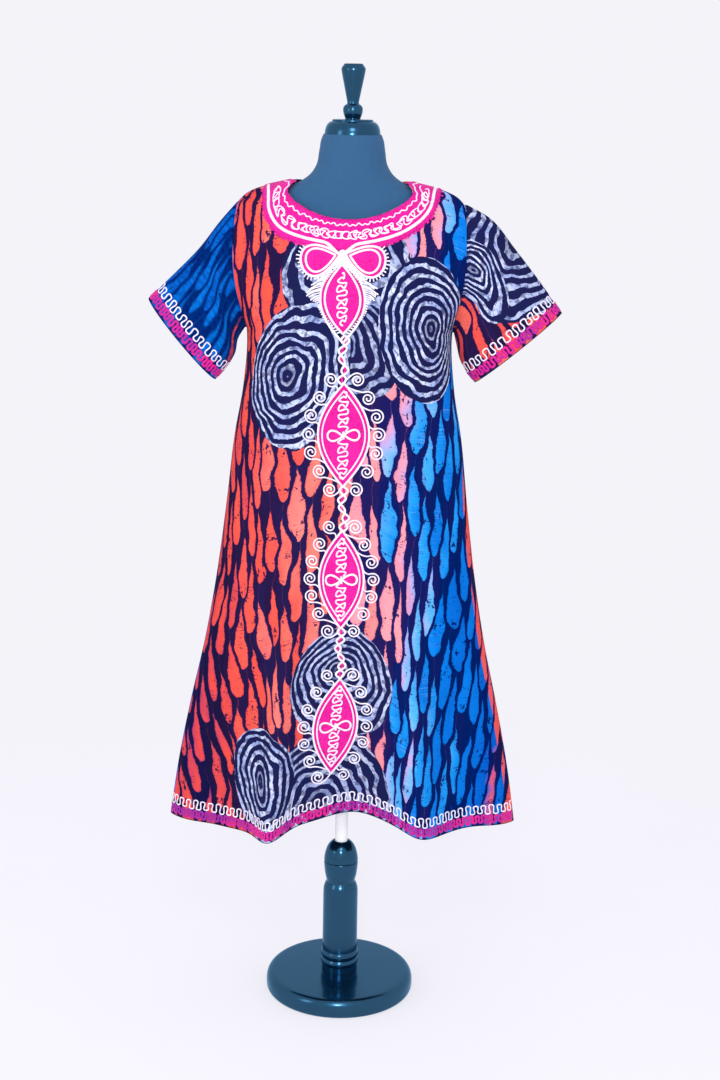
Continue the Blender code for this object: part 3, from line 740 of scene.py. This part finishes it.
for panel, (points, columns, rows) in GRIDS.items():
    u, v = CUTS[panel]
    x, z = points[:, 0], points[:, 2]
    if panel in ("front", "back"):
        # The blue side's drops lean outwards, and the other panel's dye shows along a seam
        seen_x = x if panel == "front" else -x
        lean = 0.05 * ease((seen_x - 0.05) / 0.13) - 0.05 * ease((-0.06 - seen_x) / 0.1)
        squeezed = (0.7 * np.minimum(seen_x + 0.15, 0.0) * ease((z - 0.70) / 0.2)
                    + 0.25 * np.maximum(seen_x - 0.10, 0.0))
        flow = u + squeezed - lean * (v - 0.60), v
        across = seen_x / between(DRESS, "height", "half_width", z)
        bulge = 0.055 * ease((z - 1.33) / 0.12) + 0.034 * np.exp(-((z - 1.21) / 0.10) ** 2)
        tint = tint_at(seen_x - bulge * ease(seen_x / 0.1)).clip(0.02, 0.90)
        tint = np.where(across > 0.965 + 0.05 * ease((z - 0.94) / 0.26), 1.0,
                        np.where(across < -0.992, -0.1, tint))
    elif panel == "right":
        flow = u * 1.25 + 0.3, v
        tint = tint_at(0.245 + 0.25 * u)
    else:
        flow = u * 0.9 + 0.5, v + 0.030
        tint = np.full_like(u, tint_at(-0.13))
    faces = grid_faces(columns, rows, flip=panel == "back")
    cloth = tailored(f"{panel}_cloth", points, faces, (u + PANEL_OFFSET[panel], v),
                     (flow[0] + PANEL_OFFSET[panel], flow[1]), tint, wax_print)
    node = f"sleeve_{panel}" if panel in ("right", "left") else f"{panel}_panel"
    ride_as(cloth, "form", "wax_print", node)


# ----------------------------------------------------------- Fields of pink stitching
# The yoke, the bow's two loops and the four almonds are filled by machine with short
# stitches of hot pink rayon, so dense that each stands a millimetre off the cotton.
def on_front(x, z):
    return panel_point(-1, *column_of(-1, x, z))


def on_surface(surface, path, lift, outwards=1):
    """A flat path laid on a surface: its points, moved out by lift, and their normals."""
    a, b = np.asarray(path, float).T
    here = surface(a, b)
    normal = np.cross(surface(a + 0.002, b) - here, surface(a, b + 0.002) - here)
    normal *= outwards / np.linalg.norm(normal, axis=-1, keepdims=True)
    return here + normal * lift, normal


# How far down and out the yoke's outer edge lies, for places along the neckline
YOKE_EDGE = table(
    "along x z", (-1.00, -0.159, 1.581), (-0.85, -0.1575, 1.558), (-0.70, -0.151, 1.531),
    (-0.50, -0.127, 1.500), (-0.30, -0.085, 1.486), (-0.15, -0.043, 1.480),
    (0.00, 0.000, 1.477), (0.15, 0.045, 1.482), (0.30, 0.090, 1.494),
    (0.50, 0.130, 1.517), (0.70, 0.153, 1.545), (0.85, 0.160, 1.565), (1.00, 0.161, 1.582),
)
YOKE_DEPTH = 0.050


def yoke_flat(along, down):
    """x and z of a point of the yoke: along the neckline, down from it in metres."""
    neck = panel_point(-1, along, np.ones_like(along))
    part = down / YOKE_DEPTH
    return (neck[..., 0] + (between(YOKE_EDGE, "along", "x", along) - neck[..., 0]) * part,
            neck[..., 2] + (between(YOKE_EDGE, "along", "z", along) - neck[..., 2]) * part)


ALONG = np.linspace(-1.0, 1.0, 400)
middle_line = np.stack(yoke_flat(ALONG, np.full(400, 0.028)), axis=-1)
YOKE_WAY = way_along(middle_line)
YOKE_LENGTH = YOKE_WAY[-1]


def on_yoke(way, down):
    return on_front(*yoke_flat(np.interp(way, YOKE_WAY, ALONG), down))


def almond_reach(t, half_width):
    return half_width * np.clip(1.0 - (2.0 * t - 1.0) ** 2, 0.0, 1.0) ** 1.08


def tear(t, length, half_height):
    """The outline of a teardrop with its point at 0: t from 0 to 1 goes once round."""
    turn = tau * t
    return (length * (1.0 - np.cos(turn)) / 2.0,
            half_height * np.sin(turn) * np.sin(turn / 2.0) ** 1.1)


FIELD_TOP, FIELD_WALL = 0.0013, 0.0011
pink_fill, put, shader = new_material(
    "pink_rayon_fill", Roughness=0.5, Specular_IOR_Level=0.16, Specular_Tint=linear("ff7fd0"))
place = put("TexCoord").node.outputs["Object"]
# Short stitches, 2 mm long, laid all ways: each catches the light as a small grain
grain = put("MapRange", put("TexVoronoi", place, 420.0), 0.15, 0.75, 1.0, 0.0)
shift = put("MULTIPLY", put("TexNoise", place, 26.0, 2.0), 0.6)
feed(shader, Base_Color=put("ValToRGB", put("MULTIPLY_ADD", grain, 0.60, shift),
                            stops=((0.15, "c20c7e"), (0.75, "ee2aa0"))),
     Normal=put("Bump", 0.6, 0.0008, None, grain))


def field(name, flat, surface, columns, rows, flip, *nodes, outwards=1):
    """A shell of stitching over a grid of flat places on the cloth."""
    points = on_surface(surface, flat, FIELD_TOP, outwards)[0]
    piece = piece_of(name, points, grid_faces(columns, rows, flip), pink_fill)
    shell = piece.modifiers.new("Stitching", 'SOLIDIFY')
    shell.thickness, shell.offset = FIELD_WALL, -1.0
    return ride_as(piece, "form", "pink_embroidery", *nodes)


rows, columns = 9, 260
way, down = np.meshgrid(np.linspace(0.0005, YOKE_LENGTH - 0.0005, columns),
                        np.linspace(0.0006, YOKE_DEPTH, rows))
field("yoke_field", np.stack([way.ravel(), down.ravel()], -1), on_yoke, columns, rows,
      True, "neck_yoke", outwards=-1)

ALMONDS = table(
    "name node foot_x foot head_x head half_width",
    ("throat_field", "medallion_throat", -0.003, 1.329, -0.007, 1.454, 0.032),
    ("upper_field", "medallion_upper", 0.0, 1.052, 0.0, 1.243, 0.046),
    ("middle_field", "medallion_middle", 0.0, 0.784, 0.0, 0.971, 0.041),
    ("lower_field", "medallion_lower", -0.016, 0.492, 0.0, 0.686, 0.041),
)


def in_almond(almond, part, t):
    """x and z in an almond: part of the way to its edge, and of the way up it."""
    return (almond.foot_x + (almond.head_x - almond.foot_x) * t
            + part * almond_reach(t, almond.half_width),
            almond.foot + (almond.head - almond.foot) * t)


for almond in ALMONDS:
    rows, columns = 61, 21
    t, side = np.meshgrid(0.5 - 0.5 * np.cos(np.linspace(0.12, pi - 0.12, rows)),
                          np.linspace(-1.0, 1.0, columns), indexing="ij")
    side *= 1.2 if almond.name == "throat_field" else 1.0
    flat = np.stack(in_almond(almond, side, t), -1).reshape(-1, 2)
    field(almond.name, flat, on_front, columns, rows, False, almond.node)

# Each loop of the bow: its point is at the knot, and it droops a little outwards
KNOT_X, KNOT_Z, LOOP_LENGTH, LOOP_HALF, LOOP_DROOP = -0.0065, 1.470, 0.072, 0.0352, 0.27
LOOP_FIELD = 0.97


def loop_flat(side, x, z):
    """A place of a loop, given along it and across it, on the front."""
    return (KNOT_X + side * (0.004 + x * cos(LOOP_DROOP) + z * sin(LOOP_DROOP)),
            KNOT_Z - x * sin(LOOP_DROOP) + z * cos(LOOP_DROOP))


for side, name in ((-1, "bow_field_right"), (1, "bow_field_left")):
    rows, columns = 31, 13
    t, part = np.meshgrid(np.linspace(0.06, 0.485, rows), np.linspace(-1.0, 1.0, columns),
                          indexing="ij")
    x, z = tear(t, LOOP_LENGTH * LOOP_FIELD, LOOP_HALF * LOOP_FIELD)
    flat = np.stack(loop_flat(side, x + 0.001, z * part), -1).reshape(-1, 2)
    field(name, flat, on_front, columns, rows, side > 0)


# ------------------------------------------------------------------- White cords
# White rayon cord, couched: the machine lays it along the pattern and sews it down.
# It outlines every field, scrolls round the almonds, and runs in chains between them.
cord_tree = bpy.data.node_groups.new("couched_cord", 'GeometryNodeTree')
cord_tree.is_modifier = True
sockets = {
    label: cord_tree.interface.new_socket(label, in_out='INPUT', socket_type=kind)
    for label, kind in (("Path", 'NodeSocketGeometry'), ("Section", 'NodeSocketVector'),
                        ("Sides", 'NodeSocketInt'), ("Thread", 'NodeSocketMaterial'))}
cord_tree.interface.new_socket("Cord", in_out='OUTPUT', socket_type='NodeSocketGeometry')
given = cord_tree.nodes.new("NodeGroupInput").outputs
put = partial(add, cord_tree)
lie = put("InputNamedAttribute.FLOAT_VECTOR", "lie")
wide = put("InputNamedAttribute.FLOAT", "wide")
path = put("SetCurveNormal", put("MeshToCurve", given["Path"]), None, lie, mode='FREE')
length = put("SplineParameter").node.outputs["Length"]
path = put("StoreNamedAttribute.FLOAT", path, None, "along", length)
section = put("Transform", put("CurvePrimitiveCircle", given["Sides"], 0.5), None, None,
              given["Section"])
cord = put("SetShadeSmooth", put("CurveToMesh", path, section, wide, True))
cord = put("SetMaterial", put("RealizeInstances", cord), None, given["Thread"])
cord_tree.links.new(cord, cord_tree.nodes.new("NodeGroupOutput").inputs["Cord"])

Run = namedtuple("Run", "points lies width closed")
CORD_STEP, CORD_SIDES = 0.0017, 6


def run_on(surface, path, width, base=0.0, flat=0.5, closed=False, outwards=1):
    """One run of cord along a flat path, half sunk in what it lies on."""
    path = np.stack([np.asarray(p, float) for p in path], axis=-1)
    if closed:
        path = np.vstack([path, path[:1]])
    way = way_along(path)
    count = max(int(way[-1] / CORD_STEP), 3)
    at = np.linspace(0.0, way[-1], count + 1)[:count if closed else None]
    path = np.stack([np.interp(at, way, path[:, 0]), np.interp(at, way, path[:, 1])], -1)
    points, normals = on_surface(surface, path, base + 0.22 * flat * width, outwards)
    return Run(points, normals, width, closed)


def couched(name, runs, thread, flat=0.5):
    """One piece of cord from many runs, riding on the form."""
    mesh = bpy.data.meshes.new(name)
    edges, first = [], 0
    for run in runs:
        last = first + len(run.points) - 1
        edges += [(i, i + 1) for i in range(first, last)] + [(last, first)] * run.closed
        first = last + 1
    mesh.from_pydata(np.concatenate([run.points for run in runs]).tolist(), edges, [])
    mesh.attributes.new("lie", 'FLOAT_VECTOR', 'POINT').data.foreach_set(
        "vector", np.concatenate([run.lies for run in runs]).astype(np.float32).ravel())
    mesh.attributes.new("wide", 'FLOAT', 'POINT').data.foreach_set(
        "value", np.concatenate([np.full(len(run.points), run.width, np.float32)
                                 for run in runs]))
    laid = bpy.data.objects.new(name + "_path", mesh)
    bpy.context.collection.objects.link(laid)
    modifier = laid.modifiers.new("Cord", 'NODES')
    modifier.node_group = cord_tree
    modifier[sockets["Section"].identifier] = (flat, 1.0, 1.0)
    modifier[sockets["Sides"].identifier] = CORD_SIDES
    modifier[sockets["Thread"].identifier] = thread
    graph = bpy.context.evaluated_depsgraph_get()
    made = bpy.data.meshes.new_from_object(laid.evaluated_get(graph), depsgraph=graph)
    bpy.data.objects.remove(laid)
    made.name = name
    piece = bpy.data.objects.new(name, made)
    bpy.context.collection.objects.link(piece)
    return ride_as(piece, "form", "pink_embroidery")


def thread_material(name, dark, light, patches=160.0):
    """Glossy rayon thread: a fine rib for each stitch, 2.2 mm along the cord."""
    material, put, shader = new_material(name, Roughness=0.42, Specular_IOR_Level=0.2)
    along = put("Attribute", attribute_name="along").node.outputs["Fac"]
    ribs = put("PINGPONG", put("MULTIPLY", along, 900.0), 1.0)
    place = put("TexCoord").node.outputs["Object"]
    tone = put("MapRange", put("TexNoise", place, patches, 2.0), 0.38, 0.62, 0.0, 0.8)
    tone = put("MULTIPLY_ADD", ribs, 0.3, tone)
    feed(shader, Base_Color=put("Mix.RGBA", tone, linear(dark), linear(light)),
         Normal=put("Bump", 0.4, 0.0004, None, ribs))
    return material


white_rayon = thread_material("white_rayon_thread", "dcd3ea", "fdf8ff")
pink_rayon = thread_material("pink_rayon_thread", "c00c7c", "ee1f9e")

white, pink = [], []
shake = np.random.default_rng(7)
# How wide the cords are, finest first
SCRIBBLE, FINE, THIN, MIDDLING, THICK, ROPE = 0.0026, 0.0028, 0.0030, 0.0042, 0.0046, 0.0062
YOKE_END = 0.003


def lay(path, width, base=FIELD_TOP, runs=white, **more):
    """Adds one run of cord on the front, from x and z along it."""
    runs.append(run_on(on_front, path, width, base, **more))


def lay_on_yoke(way, down, width, base=FIELD_TOP, runs=white):
    """Adds one run of cord on the yoke, from the way along it and down from the neck."""
    runs.append(run_on(on_yoke, (way, down), width, base, outwards=-1))


def joined(*pieces):
    """One flat path through several, each an x and a z array."""
    return tuple(np.concatenate([np.atleast_1d(piece[axis]) for piece in pieces])
                 for axis in (0, 1))


# The yoke: a thin wavy cord by the neckline, a double scribble of loops along its middle
# and a thick cord near its outer edge that dips into the knot, over a ragged fringe
way = np.linspace(YOKE_END, YOKE_LENGTH - YOKE_END, 2000)
lay_on_yoke(way, 0.0100 + 0.0014 * np.sin(tau * way / 0.0125)
            + 0.0010 * np.sin(tau * way / 0.027), SCRIBBLE)
way = np.linspace(3 * YOKE_END, YOKE_LENGTH - 3 * YOKE_END, 2000)
for phase, pitch, depth in ((0.8, 0.0235, 0.0258), (3.6, 0.0205, 0.0272)):
    turn = tau * way / pitch + phase + 0.7 * np.sin(tau * way / 0.117)
    lay_on_yoke(way + 0.0046 * np.sin(2.0 * turn + 0.5) + 0.0012 * np.sin(0.43 * turn),
                depth + 0.0056 * np.cos(turn) + 0.0012 * np.sin(2.3 * turn), SCRIBBLE)
half = YOKE_LENGTH / 2
for low, high in ((YOKE_END, half), (half, YOKE_LENGTH - YOKE_END)):
    way = np.linspace(low, high, 600)
    dip = 0.0165 * np.exp(-((way - half + 0.0065) / 0.016) ** 2)
    lay_on_yoke(way, 0.0405 + dip, ROPE)
for way in np.arange(0.004, YOKE_LENGTH, 0.0036):
    reach = shake.uniform(0.0005, 0.0042)
    lay_on_yoke([way, way + shake.uniform(-0.002, 0.002)],
                [YOKE_DEPTH - 0.003, YOKE_DEPTH + reach], MIDDLING, 0.0, pink)

# The bow: each loop has two thick outlines and a burr of short stitches round them
t = np.linspace(0.0, 1.0, 240, endpoint=False)
for side in (-1, 1):
    x, z = tear(t, LOOP_LENGTH, LOOP_HALF)
    lay(loop_flat(side, x, z), THICK, closed=True)
    lay(loop_flat(side, 0.0088 + x * 0.75, z * 0.75), MIDDLING, closed=True)
    for ray in np.linspace(0.13, 0.87, 30):
        x, z = tear(ray, LOOP_LENGTH, LOOP_HALF)
        x2, z2 = tear(ray + 0.004, LOOP_LENGTH, LOOP_HALF)
        out = np.array([z - z2, x2 - x]) / np.hypot(x2 - x, z2 - z)
        far = 0.0078 + shake.uniform(-0.0022, 0.0022)
        lay(loop_flat(side, np.array([x, x + out[0] * far]), np.array([z, z + out[1] * far])),
            FINE, 0.0)

# Almonds: two outlines and a squiggle down the middle. The throat's wears a fan of
# short rays, and the lower three a small bow and a running row of scrolls down each side.
SQUIGGLE_END, SQUIGGLE_PITCH = 0.018, 0.0148
for almond in ALMONDS:
    low, high, half = almond.foot, almond.head, almond.half_width
    throat = almond.name == "throat_field"
    t = 0.5 - 0.5 * np.cos(np.linspace(0.0, pi, 160))
    for inset, width in (((-0.0072, THICK), (0.0008, MIDDLING)) if throat
                         else ((0.0, MIDDLING), (0.0074, THIN))):
        part = 1.0 - inset / half
        grown = 0.5 + (t - 0.5) * (1.0 - 3.8 * inset / (high - low))
        xs, zs = in_almond(almond, part, t)
        zs = low + (high - low) * grown
        mirror = in_almond(almond, -part, t)[0]
        lay(joined((xs, zs), (mirror[-2:0:-1], zs[-2:0:-1])), width, closed=True)
    down = np.linspace(0.0, 1.0, 900)
    long = high - low - 2 * SQUIGGLE_END
    turn = tau * round(long / SQUIGGLE_PITCH) * down
    room = np.clip(almond_reach(0.92 - 0.84 * down, half) * 0.34, 0.0026, 0.0082)
    zs = high - SQUIGGLE_END - long * down
    axis = in_almond(almond, 0, (zs - low) / (high - low))[0]
    xs = axis + room * (np.sin(turn) + 0.22 * np.sin(2.0 * turn + 0.6))
    zs = zs + 0.0027 * np.sin(2.0 * turn) + 0.0014 * np.sin(2.6 * turn)
    gap = 0.0 if throat else 0.011 / (high - low)
    for stretch in (down < 0.5 - gap, down > 0.5 + gap):
        lay((xs[stretch], zs[stretch]), 0.0034)
    if throat:
        for side in (-1, 1):
            for ray in np.linspace(0.04, 0.98, 30):
                x, z = in_almond(almond, 1.22 * side, ray)
                length = 0.0060 + 0.026 * ease((ray - 0.42) / 0.30) * shake.uniform(0.7, 1.1)
                drop = shake.uniform(0.30, 0.62)
                lay(([x, x + side * 0.6 * length, x + side * length],
                     [z, z - 0.40 * drop * length, z - drop * length]), FINE, 0.0)
        # The knot is sewn over and over, so that no cloth shows under it
        for row in np.linspace(0.0, 1.0, 6):
            z, reach = KNOT_Z + 0.006 - 0.022 * row, 0.007 + 0.007 * row
            lay(([KNOT_X - reach, KNOT_X, KNOT_X + reach], [z - 0.6 * reach, z, z - 0.6 * reach]),
                0.0052, 0.0)
        continue
    centre_x, middle = (almond.foot_x + almond.head_x) / 2, (low + high) / 2
    for side in (-1, 1):
        x, z = tear(np.linspace(0.0, 1.0, 90, endpoint=False), 0.0275, 0.0128)
        lay((centre_x + side * (0.001 + x), middle + z + 0.0012 * side), MIDDLING,
            FIELD_TOP + 0.0008, closed=True)
    lay(([centre_x, centre_x], [middle - 0.007, middle + 0.007]), THICK, FIELD_TOP + 0.0010)
    # Each scroll starts on the almond's edge, passes over and winds in to its eye. The
    # machine goes once round, so those of one side are the other's turned about.
    for at in np.linspace(1.03, -0.03, 7):
        begin = min(at + 0.021 / (high - low), 1.0)
        start = np.array(in_almond(almond, 1, begin))
        edge_x = in_almond(almond, 1, min(max(at, 0.0), 1.0))[0]
        centre = np.array([edge_x + 0.0165 + 0.0065 * abs(2.0 * at - 1.0),
                           low + (high - low) * at])
        radius = 0.0130 + shake.uniform(-0.0006, 0.0006)
        turn = np.linspace(0.0, 1.0, 110)
        around = pi / 2 + 0.3 - tau * 1.9 * turn
        shrink = radius * (1.0 - 0.84 * turn)
        wound = centre[0] + shrink * np.cos(around), centre[1] + shrink * np.sin(around)
        top = np.array([wound[0][0], wound[1][0]])
        turn = np.linspace(0.0, 1.0, 14)[:-1, None]
        bend = top - (0.0096, 0.0030)
        bridge = (1 - turn) ** 2 * start + 2 * turn * (1 - turn) * bend + turn ** 2 * top
        xs, zs = joined(bridge.T, wound)
        lay((xs, zs), THIN, 0.0)
        lay((2 * centre_x - xs, 2 * middle - zs), THIN, 0.0)

# Chains between the fields: two white cords part and cross again about a pink one
for low, high, slant in ((1.240, 1.329, -0.004), (0.969, 1.054, 0.003), (0.686, 0.786, 0.0)):
    z = np.linspace(high, low, 400)
    links = round((high - low) / 0.0180)
    part = (high - z) / (high - low)
    axis = 0.0050 * np.sin(tau * 1.6 * part + 0.7) * np.sin(pi * part) + slant * part
    spread = (0.0060 + 0.0014 * np.sin(9.0 * part)) * np.sin(pi * links * part)
    for side in (-1, 1):
        lay((axis + side * spread, z), 0.0044, 0.0006)
    lay((axis, z), 0.0050, 0.0, pink)


# Hem and cuffs: a rounded white meander runs above a band of tight pink ones
def hem_surface(side):
    """Places along a hem, from the middle front or back, and up from its edge."""
    across = np.linspace(-1.0, 1.0, 1200)
    way = way_along(panel_point(side, across, np.full(1200, 0.012)))

    def surface(along, up):
        at = np.interp(along, way, across)
        # The bands are spaced as if the neckline were a little rounder than it is
        low, top = edges_at(side, at, 1.0, 1.1)
        return panel_point(side, at, up / (top - low))
    return surface, way[-1]


def cuff_surface(sleeve, sign):
    """Places round a cuff, and up from its edge."""
    angle = np.linspace(-pi, pi, 600)
    edge = sleeve_point(sleeve, sign, np.ones(600), angle)
    way = way_along(edge)
    cuff_length = np.linalg.norm(sleeve_point(sleeve, sign, np.full(600, 0.75), angle) - edge,
                                 axis=-1) / 0.25

    def surface(along, up):
        at = np.interp(along, way, angle)
        return sleeve_point(sleeve, sign, 1.0 - up / np.interp(at, angle, cuff_length), at)
    return surface, way[-1]


# How far the stitching keeps from where the hem or cuff begins, and from both ends
EDGE_GAP, EDGE_GAPS = 0.0028, 0.0080


def meander(length, middle, half, period, bulge):
    """A rounded meander along an edge: along and up, for a whole number of turns."""
    turns = round(length / period)
    t = np.linspace(0.0, 1.0, turns * 24)
    turn = tau * turns * t + 0.5 * np.sin(tau * 3.0 * t) + 0.4 * np.sin(tau * 11.0 * t)
    swing = np.tanh(0.9 * np.cos(turn)) / np.tanh(0.9)
    return (EDGE_GAP + (length - EDGE_GAPS) * t + period * bulge * np.sin(2 * turn),
            middle + half * (1.0 + 0.12 * np.sin(0.31 * turn)) * swing)


hem_white, hem_pink = [], []
for surface, length, outwards in (
    (*hem_surface(-1), 1), (*hem_surface(1), -1),
    (*cuff_surface(RIGHT_SLEEVE, -1), 1), (*cuff_surface(LEFT_SLEEVE, 1), -1),
):
    along, up = meander(length, 0.0330, 0.0086, 0.0172, 0.155)
    hem_white.append(run_on(surface, (along, up), 0.0029, outwards=outwards))
    along, up = meander(length, 0.0138, 0.0072, 0.0142, 0.14)
    hem_pink.append(run_on(surface, (along, up), 0.0058, flat=0.3, outwards=outwards))

# The band's thread is dyed in lengths, from violet through magenta to red-pink
violet_rayon = thread_material("violet_pink_rayon_thread", "8a1f9c", "e01c8c", 14.0)
couched("white_cords", white, white_rayon)
couched("pink_cords", pink, pink_rayon, flat=0.4)
couched("hem_white_cords", hem_white, white_rayon)
couched("hem_pink_bands", hem_pink, violet_rayon, flat=0.3)
